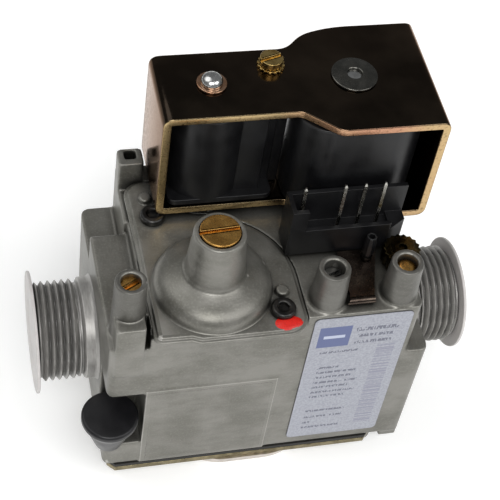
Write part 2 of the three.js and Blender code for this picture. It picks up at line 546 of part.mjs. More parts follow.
// ---- throughput adjuster cap at the front left corner ----
const adjusterCap = () => {
  const { x, y, radius, top, ledge, spigot } = knob;
  return cut(
    turned(x, y, [[0, ledge + GAP], [3.6, ledge + GAP], [radius - 1.4, top - 4.4], [radius - 0.3, top - 2.6],
      [radius - 0.3, top - 2.2], [radius, top - 1.8], [radius, top - 0.4], [radius - 0.6, top], [0, top]], 20),
    post(x, y, spigot + GAP, ledge - 1, top - 2.6, spigot + GAP, 20),
    box(x - 9, x - 3.2, y - 3.6, y - 2.2, top - 8.6, top - 6.6));
};
add('throughput_adjuster_cap', adjusterCap(), colours.blackPlastic, 0.35, 0);

// ---- rating label ----
const labelOutline = roundedRectangle(label.x0, label.x1, label.z0, label.z1, 1.4);
const labelSheet = new THREE.ExtrudeGeometry(labelOutline, { depth: label.thick, bevelEnabled: false, curveSegments: 4 })
  .rotateX(Math.PI / 2).translate(0, casting.front - 0.1, 0);
add('rating_label', shapeSolid(labelSheet), colours.label, 0.4, 0);

export default valve;
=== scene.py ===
"""Gas valve: the fine surfaces, finishes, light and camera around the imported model.

Lengths are in millimetres until a mesh is made. X runs along the gas connections, -Y faces the
rating label and Z is up; the valve rests on Z = 0.
"""

import bmesh
import bpy
import numpy as np
from mathutils import Matrix, Vector


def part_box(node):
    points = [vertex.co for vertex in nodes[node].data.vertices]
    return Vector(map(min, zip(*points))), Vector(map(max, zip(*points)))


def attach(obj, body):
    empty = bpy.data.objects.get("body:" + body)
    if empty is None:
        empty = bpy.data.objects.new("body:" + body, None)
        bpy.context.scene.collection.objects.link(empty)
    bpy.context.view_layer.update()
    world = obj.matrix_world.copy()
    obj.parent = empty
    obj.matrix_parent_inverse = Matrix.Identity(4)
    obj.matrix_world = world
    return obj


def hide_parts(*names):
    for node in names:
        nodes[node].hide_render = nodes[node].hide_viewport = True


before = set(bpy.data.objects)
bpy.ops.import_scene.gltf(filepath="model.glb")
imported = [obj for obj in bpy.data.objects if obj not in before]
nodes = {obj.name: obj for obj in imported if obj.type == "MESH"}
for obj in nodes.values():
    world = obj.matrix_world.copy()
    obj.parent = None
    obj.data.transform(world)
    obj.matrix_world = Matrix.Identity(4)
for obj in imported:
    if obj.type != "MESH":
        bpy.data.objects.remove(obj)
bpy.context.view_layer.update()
MM = 0.001


# ---- camera ----
# A 100 mm lens on a 36 mm frame, above the front left corner of the valve. It is turned to the
# right, tipped down, and rolled a little.
frame_width, lens = 36, 100.638
eye = (-80.109, -217.567, 339.396)
turn, dip, roll = np.radians([19.991, 50.425, 10.613])

camera = bpy.data.objects.new("camera", bpy.data.cameras.new("camera"))
camera.data.sensor_width = frame_width
camera.data.lens = lens
camera.data.clip_start = 0.01
camera.matrix_world = (
    Matrix.Translation(Vector(eye) * MM)
    @ Matrix.Rotation(-turn, 4, "Z")
    @ Matrix.Rotation(np.pi / 2 - dip, 4, "X")
    @ Matrix.Rotation(roll, 4, "Z")
)
bpy.context.scene.collection.objects.link(camera)
bpy.context.scene.camera = camera


# ---- light and floor ----
# Wide soft lamps from the front and the sides, under a dim ceiling, over a pale floor that glows a
# little. Walls mirror the bright floor and decks mirror the dim ceiling.
ceiling_strength, floor_glow, floor_half = 0.22, 0.2, 3.0
bpy.context.scene.view_settings.view_transform = "Standard"
world = bpy.data.worlds.new("ceiling")
world.use_nodes = True
world.node_tree.nodes["Background"].inputs["Color"].default_value = (0.96, 0.98, 1, 1)
world.node_tree.nodes["Background"].inputs["Strength"].default_value = ceiling_strength
bpy.context.scene.world = world


def soft_lamp(name, azimuth, elevation, strength, width):
    """A far lamp. Azimuth 0 stands in front at -Y and 90 at +X; width is its angle in degrees."""
    data = bpy.data.lights.new(name, "SUN")
    data.energy = strength
    data.angle = np.radians(width)
    lamp = bpy.data.objects.new(name, data)
    a, e = np.radians([azimuth, elevation])
    towards = Vector((np.sin(a) * np.cos(e), -np.cos(a) * np.cos(e), np.sin(e)))
    lamp.rotation_euler = towards.to_track_quat("Z", "Y").to_euler()
    bpy.context.scene.collection.objects.link(lamp)


soft_lamp("front_left_lamp", -14, 50, 1.75, 34)
soft_lamp("front_right_lamp", 52, 44, 1.0, 40)
soft_lamp("back_left_lamp", -125, 58, 0.75, 46)

floor_mesh = bpy.data.meshes.new("floor")
floor_mesh.from_pydata(
    [(-floor_half, -floor_half, 0), (floor_half, -floor_half, 0), (floor_half, floor_half, 0),
     (-floor_half, floor_half, 0)], [], [(0, 1, 2, 3)])
floor = bpy.data.objects.new("floor", floor_mesh)
bpy.context.scene.collection.objects.link(floor)
floor_paint = bpy.data.materials.new("pale_floor")
floor_paint.use_nodes = True
floor_paint.node_tree.nodes["Principled BSDF"].inputs["Base Color"].default_value = (0.94, 0.94, 0.93, 1)
floor_paint.node_tree.nodes["Principled BSDF"].inputs["Roughness"].default_value = 0.9
floor_paint.node_tree.nodes["Principled BSDF"].inputs["Emission Color"].default_value = (1, 1, 1, 1)
floor_paint.node_tree.nodes["Principled BSDF"].inputs["Emission Strength"].default_value = floor_glow
floor_mesh.materials.append(floor_paint)


# ---- casting ----
# The body is one pressure die casting in aluminium, left as it comes out of the die: satin grey,
# faintly mottled, with every corner rounded and a fillet where walls meet.
class Wire:
    """A socket that carries a number. Each Python operator on it adds the Math node of that name."""

    def __init__(self, finish, socket):
        self.finish = finish
        self.socket = socket

    def maths(self, operation, *others):
        """The result of the named operation on this number and the others."""
        sockets = dict(enumerate((self, *others)))
        return self.finish.add("ShaderNodeMath", {"operation": operation}, sockets)

    def __add__(self, other):
        return self.maths("ADD", other)

    def __sub__(self, other):
        return self.maths("SUBTRACT", other)

    def __mul__(self, other):
        return self.maths("MULTIPLY", other)

    def __gt__(self, other):
        return self.maths("GREATER_THAN", other)

    def __lt__(self, other):
        return self.maths("LESS_THAN", other)

    def __abs__(self):
        return self.maths("ABSOLUTE")


class Finish:
    """A material in the making, on one Principled shader whose even sockets are given at the start."""

    def __init__(self, name, even):
        self.material = bpy.data.materials.new(name)
        self.material.use_nodes = True
        self.tree = self.material.node_tree
        self.shader = self.tree.nodes["Principled BSDF"]
        for socket, value in even.items():
            self.shader.inputs[socket].default_value = value

    def add(self, kind, settings=None, sockets=None, output=0):
        """Adds any node: its type, its settings, then the value or link of each socket."""
        node = self.tree.nodes.new(kind)
        for key, value in (settings or {}).items():
            setattr(node, key, value)
        for key, value in (sockets or {}).items():
            if isinstance(value, Wire):
                self.tree.links.new(value.socket, node.inputs[key])
            else:
                node.inputs[key].default_value = value
        return Wire(self, node.outputs[output])

    def place(self, centre=(0, 0, 0), stretch=(1, 1, 1)):
        """Where a point of the object is, in millimetres from centre, stretched along each axis."""
        here = self.add("ShaderNodeTexCoord", output="Object")
        scale = [s / MM for s in stretch]
        shift = [-c * s for c, s in zip(centre, stretch)]
        return self.add("ShaderNodeMapping", {}, {"Vector": here, "Location": shift, "Scale": scale})

    def noise(self, place, size, detail=2.0):
        """Cloudy variation round 0.5 with lumps about `size` millimetres across."""
        sockets = {"Vector": place, "Scale": 1 / size, "Detail": detail}
        return self.add("ShaderNodeTexNoise", {}, sockets)

    def axes(self, place):
        """The three numbers of a place."""
        parts = self.add("ShaderNodeSeparateXYZ", {}, {0: place}).socket.node
        return [Wire(self, socket) for socket in parts.outputs]

    def spread(self, value, low, high, to_low=0.0, to_high=1.0):
        """Carries low..high to to_low..to_high in a straight line, and holds the ends."""
        sockets = {"Value": value, "From Min": low, "From Max": high, "To Min": to_low, "To Max": to_high}
        return self.add("ShaderNodeMapRange", {}, sockets)

    def between(self, first, second, share):
        """A colour that goes from the first to the second as share goes from 0 to 1."""
        colours = [c if isinstance(c, Wire) else (*c, 1) for c in (first, second)]
        sockets = {0: share, 6: colours[0], 7: colours[1]}
        return self.add("ShaderNodeMix", {"data_type": "RGBA"}, sockets, output=2)

    def relief(self, height, depth, strength=1.0):
        """Raises the surface by up to depth millimetres where height is 1."""
        sockets = {"Height": height, "Distance": depth * MM, "Strength": strength}
        self.feed("Normal", self.add("ShaderNodeBump", {}, sockets))

    def feed(self, socket, wire):
        """Links a result to the named socket of the shader."""
        self.tree.links.new(wire.socket, self.shader.inputs[socket])


def cast_finish(name, dark, light, roughness):
    """Broad stains between two greys, fine grain on top, rubbed edges brighter, and painted shade: concave
    places and places that nearby surfaces close in on are darkened.
    """
    cast = Finish(name, {"Metallic": 0.62})
    place = cast.place()
    stains = cast.noise(place, 11, 4)
    grain = cast.noise(place, 0.55, 3)
    flow = cast.noise(cast.place(stretch=(1, 1, 3.2)), 4.5, 3)
    edge = cast.add("ShaderNodeNewGeometry", output="Pointiness")
    grey = cast.between(dark, light, cast.spread(stains * 0.7 + flow * 0.3, 0.38, 0.62))
    speckled = cast.between(grey, [1.28 * c for c in light], cast.spread(grain, 0.5, 0.85, 0, 0.6))
    rubbed = cast.between(speckled, (0.62, 0.60, 0.56), cast.spread(edge, 0.53, 0.62, 0, 0.55))
    # Concave places (low pointiness) are darkened towards near black: painted shade.
    hollow = cast.between(rubbed, (0.07, 0.066, 0.055), cast.spread(edge, 0.40, 0.48, 0.7, 0))
    # Ambient occlusion darkens the colour wherever nearby surfaces close in, at seams and undercuts:
    # painted shade.
    painted_occlusion_shade = cast.add("ShaderNodeAmbientOcclusion", {"samples": 8}, {"Distance": 5 * MM}, output="AO")
    cast.feed("Base Color", cast.between((0.022, 0.021, 0.018), hollow, cast.spread(painted_occlusion_shade, 0.30, 0.86)))
    cast.feed("Roughness", cast.spread(
        grain * 0.5 + flow * 0.5, 0.3, 0.7, roughness - 0.06, roughness + 0.1))
    cast.relief(grain * 0.6 + stains * 0.8 + flow * 0.6, 0.12, 0.55)
    return cast.material


casting_grey = cast_finish("cast_aluminium", (0.150, 0.146, 0.126), (0.235, 0.228, 0.206), 0.38)


def spot(node):
    """The middle of a node's plan and its lowest and highest points: x, y, low, high."""
    low, high = (np.array(corner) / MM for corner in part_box(node))
    middle = (low + high) / 2
    return middle[0], middle[1], low[2], high[2]


def closed_shell(rows, loop=False):
    """Joins a grid of points, rows by columns. Columns run round; each quad joins row r and r + 1.
    A loop joins the last row to the first; otherwise one flat face closes each end."""
    count, around = rows.shape[:2]
    index = np.arange(count * around).reshape(count, around)
    low = index if loop else index[:-1]
    high = np.roll(index, -1, 0) if loop else index[1:]
    quads = np.stack([low, np.roll(low, -1, 1), np.roll(high, -1, 1), high], -1).reshape(-1, 4)
    ends = [] if loop else [index[0, ::-1], index[-1]]
    return rows.reshape(-1, 3), quads, ends


def make_mesh(name, shells):
    """One mesh from several closed shells, in metres, with every face pointing outwards."""
    start, points, faces = 0, [], []
    for vertices, quads, ends in shells:
        points.append(vertices * MM)
        faces += (quads + start).tolist() + [(end + start).tolist() for end in ends]
        start += len(vertices)
    mesh = bpy.data.meshes.new(name)
    mesh.from_pydata(np.concatenate(points), [], faces)
    work = bmesh.new()
    work.from_mesh(mesh)
    bmesh.ops.recalc_face_normals(work, faces=work.faces)
    work.to_mesh(mesh)
    work.free()
    return mesh


def fit(name, mesh, finish, body="casting", stands_for=(), sharp=38):
    """Puts a finished mesh in the scene on a body, smooth except at edges over `sharp` degrees."""
    mesh.polygons.foreach_set("use_smooth", np.ones(len(mesh.polygons), bool))
    mesh.set_sharp_from_angle(angle=np.radians(sharp))
    mesh.materials.clear()
    mesh.materials.append(finish)
    piece = bpy.data.objects.new(name, mesh)
    bpy.context.scene.collection.objects.link(piece)
    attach(piece, body)
    if stands_for:
        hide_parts(*stands_for)


def plug_shell(x, y, radius, z0, z1, sides=32):
    """A plain cylinder: radius times cosine and sine of the angle, at two heights."""
    a = np.linspace(0, 2 * np.pi, sides, endpoint=False)
    ring = np.stack([x + radius * np.cos(a), y + radius * np.sin(a), np.zeros(sides)], -1)
    return closed_shell(np.stack([ring + (0, 0, z0), ring + (0, 0, z1)]))


voxel, rounding_passes, kept_share = 0.36, 4, 0.44
wall_left, wall_right = -41.75, 42.55  # the pipe ends are turned separately
large_x, large_y, _, _ = spot("large_guide_tube")
small_x, small_y, _, _ = spot("small_guide_tube")
regulator_x, regulator_y, _, _ = spot("regulator_plug")
body_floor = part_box("valve_body")[0][2] / MM
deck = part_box("large_guide_tube")[0].z / MM + 3.7
axis_z = 36.0
axis_y = -2.725


def casting_mesh():
    """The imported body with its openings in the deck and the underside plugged, wrapped in a fine even
    net whose points are then drawn towards their neighbours, which rounds every corner. Both pipe
    ends are cut off at their walls, and each cut is closed round the bore."""
    slab_x, slab_y = np.array([-30, 33, 33, -30]), np.array([-26.4, -26.4, 24.4, 24.4])
    underside = np.stack([slab_x, slab_y, np.full(4, body_floor + 0.3)], -1)
    pad = np.array([(-34, -28.4, 50), (-31.2, -28.4, 50), (-31.2, -23, 50), (-34, -23, 50)], float)
    fill = [
        closed_shell(np.stack([underside, underside + (0, 0, 4)])),
        plug_shell(large_x, large_y, 8.2, deck - 8, deck - 0.1),
        plug_shell(small_x, small_y, 7.2, deck - 8, deck - 0.1),
        plug_shell(regulator_x, regulator_y, 12.25, 54.8, 64.3),
        closed_shell(np.stack([pad, pad + (0, 0, 10)]))]
    both = bmesh.new()
    both.from_mesh(nodes["valve_body"].data)
    bmesh.ops.remove_doubles(both, verts=both.verts, dist=1e-6)
    both.from_mesh(make_mesh("casting_fill", fill))
    rough = bpy.data.meshes.new("rough_casting")
    both.to_mesh(rough)
    both.free()
    helper = bpy.data.objects.new("helper", rough)
    bpy.context.scene.collection.objects.link(helper)
    net = helper.modifiers.new("net", "REMESH")
    net.mode = "VOXEL"
    net.voxel_size = voxel * MM
    ease = helper.modifiers.new("ease", "SMOOTH")
    ease.factor = 0.5
    ease.iterations = rounding_passes
    thin = helper.modifiers.new("thin", "DECIMATE")
    thin.ratio = kept_share
    bpy.context.view_layer.update()
    view = bpy.context.evaluated_depsgraph_get()
    mesh = bpy.data.meshes.new_from_object(helper.evaluated_get(view))
    bpy.data.objects.remove(helper)
    work = bmesh.new()
    work.from_mesh(mesh)
    for x, normal in ((wall_left, (-1, 0, 0)), (wall_right, (1, 0, 0))):
        everything = work.verts[:] + work.edges[:] + work.faces[:]
        cut = bmesh.ops.bisect_plane(
            work, geom=everything, plane_co=(x * MM, 0, 0), plane_no=normal, clear_outer=True)
        rim_edges = [part for part in cut["geom_cut"] if isinstance(part, bmesh.types.BMEdge)]
        bmesh.ops.triangle_fill(work, use_beauty=True, edges=rim_edges, normal=normal)
    work.to_mesh(mesh)
    work.free()
    return mesh


fit("casting_skin", casting_mesh(), casting_grey, stands_for=["valve_body"], sharp=80)


# ---- front panel ----
# A shallow field low on the front wall, part of the same die casting and a little proud of it. The
# die leaves its sides crisp and its face slightly eased at the edges.
panel_rows = []
for inset, y in ((0, -28.3), (0, -28.95), (0.12, -29.08), (0.4, -29.125)):
    left, right, lowest, highest = -31.8 + inset, 2.6 - inset, 7.9 + inset, 42.0 - inset
    panel_rows.append([(left, y, lowest), (left, y, highest), (right, y, highest), (right, y, lowest)])
panel = make_mesh("front_panel", [closed_shell(np.array(panel_rows, float))])
fit("front_panel", panel, casting_grey)


# ---- pipe ends ----
# Each connection is a male pipe thread cut on the casting, with a plain collar up to the wall and
# a straight bore. The cutter leaves bright flanks and fine rings.
def eased(corners, steps=6, loop=False):
    """Rounds a chain of corners (across, up, ease). A quadratic curve leaves the chain one ease
    before the corner and meets it again one ease after it, cut to half of a short side."""
    points = np.array([c[:2] for c in corners], float)
    eases = np.array([c[2] for c in corners], float)
    before, after = np.roll(points, 1, 0), np.roll(points, -1, 0)
    t = np.linspace(0, 1, steps + 1)[:, None]
    chain = []
    for i, (corner, ease) in enumerate(zip(points, eases)):
        if ease == 0 or (not loop and i in (0, len(points) - 1)):
            chain.append(corner[None])
            continue
        back, on = before[i] - corner, after[i] - corner
        start = corner + back * min(ease / np.linalg.norm(back), 0.49)
        end = corner + on * min(ease / np.linalg.norm(on), 0.49)
        chain.append((1 - t) ** 2 * start + 2 * t * (1 - t) * corner + t ** 2 * end)
    return np.concatenate(chain)


thread_crest, thread_depth, thread_pitch, thread_turns = 13.22, 1.16, 1.814, 6
thread_end, bore, sleeve, bore_floor = 56.9, 8.8, 9.5, 37.0


def pipe_end(side, wall):
    """Point at angle a and distance t from the mouth: the radius is the root plus the depth times a
    triangle wave of (t / pitch - side * a / turn) with its tips cut flat, faded in at the mouth and
    out at the collar."""
    steepness, cut = 1.16, 0.08
    threaded = thread_turns * thread_pitch
    t = np.arange(0, threaded, thread_pitch / 14)
    a = np.linspace(0, 2 * np.pi, 168, endpoint=False)
    phase = (t[:, None] / thread_pitch - side * a[None] / (2 * np.pi)) % 1
    wave = np.clip(steepness * (1 - np.abs(2 * phase - 1)) - cut, 0, 1)
    fade = np.clip(t / 1.0, 0, 1) * np.clip((threaded + 0.3 - t) / 0.8, 0, 1)
    radius = thread_crest - thread_depth + thread_depth * wave * fade[:, None]
    collar = eased([(12.1, threaded, 0), (12.1, threaded + 0.5, 0.2), (13.45, threaded + 1.1, 0.3),
                    (13.45, thread_end - wall - 0.7, 0.6), (14.6, thread_end - wall + 0.5, 0),
                    (sleeve, thread_end - wall + 0.5, 0), (sleeve, bore_floor + 0.5, 0),
                    (0.3, bore_floor + 0.5, 0)])
    mouth = eased([(0.3, bore_floor, 0), (bore, bore_floor, 0.4), (bore, 0, 0.6), (12.06, 0, 0.3),
                   (12.06, 0.2, 0)])
    plain = [np.broadcast_to(part[:, :1], (len(part), len(a))) for part in (mouth, collar)]
    distance = np.concatenate([mouth[:, 1], t, collar[:, 1]])[:, None] + np.zeros(len(a))
    reach = np.concatenate([plain[0], radius, plain[1]])
    x = side * (thread_end - distance)
    grid = np.stack([x, axis_y + reach * np.cos(a), axis_z + reach * np.sin(a)], -1)
    return closed_shell(grid)


def cut_metal():
    """Machined aluminium: fine rings about the pipe axis, and painted shade in the roots of the thread."""
    metal = Finish("cut_aluminium", {"Metallic": 0.55})
    rings = metal.noise(metal.place(stretch=(1, 0.08, 0.08)), 0.16, 2)
    stains = metal.noise(metal.place(), 5, 3)
    patches = metal.spread(rings * 0.6 + stains * 0.4, 0.35, 0.65)
    metal_grey = metal.between((0.29, 0.28, 0.265), (0.43, 0.42, 0.40), patches)
    # Ambient occlusion darkens the colour in the thread roots and other tight places: painted shade.
    painted_occlusion_shade = metal.add("ShaderNodeAmbientOcclusion", {"samples": 8}, {"Distance": 1.6 * MM}, output="AO")
    metal.feed("Base Color", metal.between(
        (0.03, 0.029, 0.027), metal_grey, metal.spread(painted_occlusion_shade, 0.3, 0.85)))
    metal.feed("Roughness", metal.spread(rings, 0.3, 0.7, 0.36, 0.5))
    metal.relief(rings, 0.05, 0.4)
    return metal.material


cut_aluminium = cut_metal()
for side, wall, name in ((-1, 41.7, "outlet_pipe_thread"), (1, 42.5, "inlet_pipe_thread")):
    fit(name, make_mesh(name, [pipe_end(side, wall)]), cut_aluminium, sharp=50)


# ---- dust caps ----
# A thin grey moulded polythene disc closes each mouth in transit. A hollow plug on its back is
# pushed in and grips the bore.
def moulded(name, colour, roughness, depth, mottle=0.12, clear=0.0, gloss=0.4):
    """Moulded plastic: one colour with a faint cloud, a fine matt grain and a little sheen."""
    plastic = Finish(name, {"Coat Roughness": 0.25, "Coat Weight": clear, "Specular IOR Level": gloss})
    place = plastic.place()
    cloud = plastic.noise(place, 5, 3)
    grain = plastic.noise(place, 0.35, 2)
    light = [c * (1 + mottle) + 0.002 for c in colour]
    dark = [c * (1 - mottle) for c in colour]
    plastic.feed("Base Color", plastic.between(
        dark, light, plastic.spread(cloud * 0.6 + grain * 0.4, 0.35, 0.65)))
    plastic.feed("Roughness", plastic.spread(cloud, 0.3, 0.7, roughness - 0.05, roughness + 0.07))
    plastic.relief(grain, depth, 0.4)
    return plastic.material


def turned(corners, x=0.0, y=0.0, sides=96, loop=False, plan=None):
    """Turns a rounded profile of (radius, height, ease) about the upright axis at x, y: the point at
    angle a is (x + r cos a, y + r sin a, z). plan(r, z, a) may change the radius."""
    profile = eased(corners, loop=loop)
    a = np.linspace(0, 2 * np.pi, sides, endpoint=False)
    radius, z = (np.broadcast_to(profile[:, k, None], (len(profile), sides)) for k in (0, 1))
    if plan:
        radius = plan(radius, z, a[None])
    grid = np.stack([x + radius * np.cos(a), y + radius * np.sin(a), z], -1)
    return closed_shell(grid, loop)


def laid_along_x(shell, side):
    """Lays an upright turned shell along X, its height pointing to the given side."""
    points, quads, ends = shell
    across, depth, up = points.T
    return np.stack([side * up, axis_y + across, axis_z + depth], -1), quads, ends


polythene = moulded("grey_polythene", (0.56, 0.535, 0.52), 0.45, 0.05, 0.1)
cap_profile = [(0.4, 52.0, 0), (7.3, 52.0, 0.4), (7.3, 49.0, 0.3), (8.6, 49.0, 0.5), (8.6, 57.15, 0.3),
               (16.2, 57.15, 0.3), (16.2, 57.95, 0.3), (9.2, 57.95, 0.6), (8.4, 57.6, 0.6), (0.4, 57.6, 0)]
small_rim = [(min(across, 15.4), up, ease) for across, up, ease in cap_profile]
for side, name, profile in ((-1, "outlet", cap_profile), (1, "inlet", small_rim)):
    fit(f"{name}_cap", make_mesh(name, [laid_along_x(turned(profile), side)]), polythene,
        body=f"{name}_cap", stands_for=[f"{name}_dust_cap"])


# ---- pressure test points ----
# Three tapered nipples cast with the body and bored from the top. A brass or steel bleed screw
# closes each bore below the rim.
def arc(x, y, radius, start, end, steps=24):
    """Points on a circle from one angle to another, in degrees."""
    a = np.radians(np.linspace(start, end, steps))
    return np.stack([x + radius * np.cos(a), y + radius * np.sin(a)], -1)


def slab(outline, wall):
    """Carries a flat outline up a wall of (inset, height): each point moves along the inward normal
    of the outline by the inset. The outline runs anticlockwise."""
    ahead = np.roll(outline, -1, 0) - outline
    ahead /= np.maximum(np.linalg.norm(ahead, axis=1, keepdims=True), 1e-9)
    normal = np.stack([-ahead[:, 1], ahead[:, 0]], -1)
    joint = normal + np.roll(normal, 1, 0)
    inward = 2 * joint / np.maximum((joint ** 2).sum(1, keepdims=True), 0.7)
    plan = outline[None] + wall[:, :1, None] * inward[None]
    height = np.broadcast_to(wall[:, 1, None, None], (*plan.shape[:2], 1))
    return closed_shell(np.concatenate([plan, height], -1))


def edges(low, high, low_ease, high_ease):
    """The wall of a plain slab whose lower and upper edges are rounded."""
    return eased([(low_ease + 0.02, low, 0), (0, low, low_ease), (0, high, high_ease),
                  (high_ease + 0.02, high, 0)])


def test_point(node, top, foot, girth):
    """A tapered tower with a fillet at its foot, a rounded rim, and a bore down past the screw."""
    x, y, low, _ = spot(node)
    profile = [(5.6, foot - 0.3, 0), (4.95, foot + 0.15, 0.8), (4.28, top - 0.1, 0.45), (3.0, top, 0.5),
               (2.76, low - 1, 0.3), (0.3, low - 1, 0)]
    return turned([(across * girth, up, ease) for across, up, ease in profile], x, y)


towers = [test_point("inlet_test_screw", 79.5, 67, 0.94), test_point("chamber_test_screw", 79.5, 67, 0.94),
          test_point("outlet_test_screw", 80.5, 60.4, 0.9)]
# The towers get the casting's finish darkened to seven tenths, a shaded copy of the same aluminium:
# painted shade.
tower_shaded_grey = cast_finish("tower_aluminium_shaded", (0.105, 0.102, 0.090), (0.165, 0.160, 0.146), 0.38)
fit("test_points", make_mesh("test_points", towers), tower_shaded_grey)


def half_disc(x, y, radius, slot, side, turned_by):
    """The outline of one land beside a slot: an arc closed by its chord."""
    cut = np.degrees(np.arcsin(slot / 2 / radius))
    points = arc(0, 0, radius, cut, 180 - cut, 40) * side
    c, s = np.cos(turned_by), np.sin(turned_by)
    return points @ np.array([[c, s], [-s, c]]) + (x, y)


def slotted(x, y, radius, base, floor, top, slot, turned_by=0.0, ease=0.35):
    """A round head in three solids: the part under the slot and the two lands beside it."""
    lands = [slab(half_disc(x, y, radius, slot, side, turned_by), edges(floor - 0.05, top, 0.02, ease))
             for side in (-1, 1)]
    shank = [(0.3, base, 0), (radius, base, 0.1), (radius, floor, 0.05), (0.3, floor, 0)]
    return [turned(shank, x, y), *lands]


def plated(name, dark, light, roughness, grain_size=0.4, depth=0.03):
    """Plated or turned metal: two close tones in patches, and a fine uneven polish."""
    metal = Finish(name, {"Metallic": 1.0})
    place = metal.place()
    patch = metal.noise(place, 2.2, 4)
    grain = metal.noise(place, grain_size, 3)
    metal.feed("Base Color", metal.between(dark, light, metal.spread(patch, 0.35, 0.65)))
    metal.feed("Roughness", metal.spread(grain, 0.3, 0.7, roughness - 0.06, roughness + 0.1))
    metal.relief(grain, depth, 0.5)
    return metal.material


bright_brass = plated("turned_brass", (0.40, 0.21, 0.055), (0.58, 0.33, 0.095), 0.27)
dull_steel = plated("dull_steel", (0.16, 0.16, 0.155), (0.27, 0.265, 0.25), 0.3)
bleed_radius, bleed_head = 2.68, 0.9
for name, metal, angle in (("chamber", dull_steel, 0.35), ("outlet", bright_brass, 0.5)):
    x, y, low, high = spot(f"{name}_test_screw")
    head = slotted(x, y, bleed_radius, low, high - bleed_head, high, 0.75, angle, 0.4)
    fit(f"{name}_bleed_screw", make_mesh(name, head), metal,
        body=f"{name}_test", stands_for=[f"{name}_test_screw"])
x, y, low, high = spot("inlet_test_screw")
dome_head = turned([(0.3, low, 0), (bleed_radius, low, 0.1), (bleed_radius, high - bleed_head, 0.3),
                    (1.9, high - 0.15, 0.9), (0.2, high, 0)], x, y)
fit("inlet_bleed_screw", make_mesh("inlet_bleed", [dome_head]), bright_brass, body="inlet_test",
    stands_for=["inlet_test_screw"])


# ---- regulator cover ----
# A second die casting over the diaphragm: a flat plate with an ear, a shouldered dome, and a tower
# that holds the spring. Two socket screws clamp it, and a dab of red paint seals the front one.
plate_low, dome_top, tower_top = (z + axis_z for z in (29.6, 38.0, 52.4))
plate_high = plate_low + 2.2
ear_y = axis_y + 17.4
cover_outline = np.concatenate([
    arc(-29.4, axis_y - 26.9, 1.9, 180, 270, 8), [(-22.7, axis_y - 28.9)], [(-20.3, axis_y - 29.9)],
    arc(1.4, axis_y - 24.7, 5.2, -90, 0), [(6.6, axis_y - 14)], arc(-15, axis_y - 12.9, 21.6, 4, 80, 40),
    arc(small_x, small_y, 10.0, -90.8, -180.9, 24), arc(-27.2, ear_y, 4.6, 48, 180, 20),
    [(-31.4, axis_y + 2)]])
rim = eased([(1.2, plate_low, 0), (1.2, plate_low + 0.4, 0.1), (-0.35, plate_low + 0.6, 0.3),
             (-0.35, plate_high - 0.75, 0.4), (0.45, plate_high - 0.65, 0.2), (0.7, plate_high, 0.3),
             (1.5, plate_high, 0)])
dome = turned([(15.7, plate_high - 0.2, 0), (14.9, plate_high + 0.15, 0.5), (14.5, plate_high + 2.2, 1.2),
               (12.9, plate_high + 4.1, 1.9), (8.9, dome_top - 0.35, 1.0), (7.5, dome_top + 0.5, 1.1),
               (6.35, tower_top - 0.5, 0.4), (6.0, tower_top, 0.3), (5.1, tower_top, 0.2),
               (5.05, tower_top - 9, 0.2), (0.3, tower_top - 9, 0)], regulator_x, regulator_y, sides=144)
peg_profile = [(2.4, plate_high - 0.2, 0), (1.8, plate_high + 0.1, 0.5), (1.6, plate_high + 1.3, 0.6),
               (0.2, plate_high + 1.3, 0)]
pegs = [turned(peg_profile, x, axis_y + y) for x, y in ((-27.2, 15.5), (1.8, -17.8))]
fit("regulator_cover_casting", make_mesh("cover", [slab(cover_outline, rim), dome, *pegs]),
    casting_grey, stands_for=["regulator_cover"])


def socket_head(node, radius, height, socket, flip=False):
    """A turned head with a six-sided socket. In the socket the radius is the corner radius times
    cos 30 / cos(a mod 60 - 30)."""
    x, y, low, high = spot(node)
    seat = low + height if flip else high - height
    out = -1 if flip else 1
    profile = [(1.3, seat - out * 2, 0), (1.3, seat, 0.1), (radius, seat, 0.15),
               (radius, seat + out * height * 0.7, 0.4), (radius * 0.86, seat + out * height, 0.25),
               (socket * 1.12, seat + out * height, 0.15), (socket, seat + out * height * 0.9, 0),
               (socket, seat + out * height * 0.25, 0), (0.2, seat + out * height * 0.2, 0)]

    def plan(r, z, a):
        six = np.cos(np.pi / 6) / np.cos(a % (np.pi / 3) - np.pi / 6)
        return np.where((r <= socket + 0.01) & (r > 0.5), r * six, r)

    return turned(profile, x, y, plan=plan)


black_steel = plated("blackened_steel", (0.030, 0.030, 0.030), (0.075, 0.072, 0.068), 0.34)
for node in ("regulator_cover_screw_rear", "regulator_cover_screw_front"):
    fit(f"{node}_head", make_mesh(node, [socket_head(node, 3.15, 1.6, 1.5)]), black_steel,
        stands_for=[node])


def paint_dab(x, y, z, across, along):
    """A lens-shaped drop: height falls as one minus the square of the distance, and the outline is
    an ellipse with slow waves in it."""
    a = np.linspace(0, 2 * np.pi, 64, endpoint=False)
    edge = 1 + 0.05 * np.sin(2 * a + 0.6) + 0.03 * np.cos(3 * a)
    share = np.array([1, 0.97, 0.9, 0.75, 0.55, 0.3, 0.05])[:, None]
    top = np.stack([x + across * edge * share * np.cos(a), y + along * edge * share * np.sin(a),
                    z + 0.55 * (1 - share ** 2.4) + 0 * a], -1)
    under = top[:1] - (0, 0, 0.4)
    return closed_shell(np.concatenate([under, top]))


seal_paint = moulded("seal_paint", (0.60, 0.014, 0.008), 0.36, 0.08, 0.25, 0.15)
front_screw = spot("regulator_cover_screw_front")
dab = paint_dab(front_screw[0] + 0.5, front_screw[1] - 3.7, plate_high - 0.1, 3.6, 2.2)
fit("seal_paint_dab", make_mesh("dab", [dab]), seal_paint)


# ---- regulator plug ----
# A brass plug with a straight screwdriver slot closes the tower over an O-ring. Under it a nylon
# screw sets the spring.
plug_shells = slotted(regulator_x, regulator_y, 4.95, 86.6, 88.1, 89.0, 0.7, 0.06, 0.5)
fit("plug_head", make_mesh("plug", plug_shells), bright_brass, body="plug",
    stands_for=["regulator_plug"])


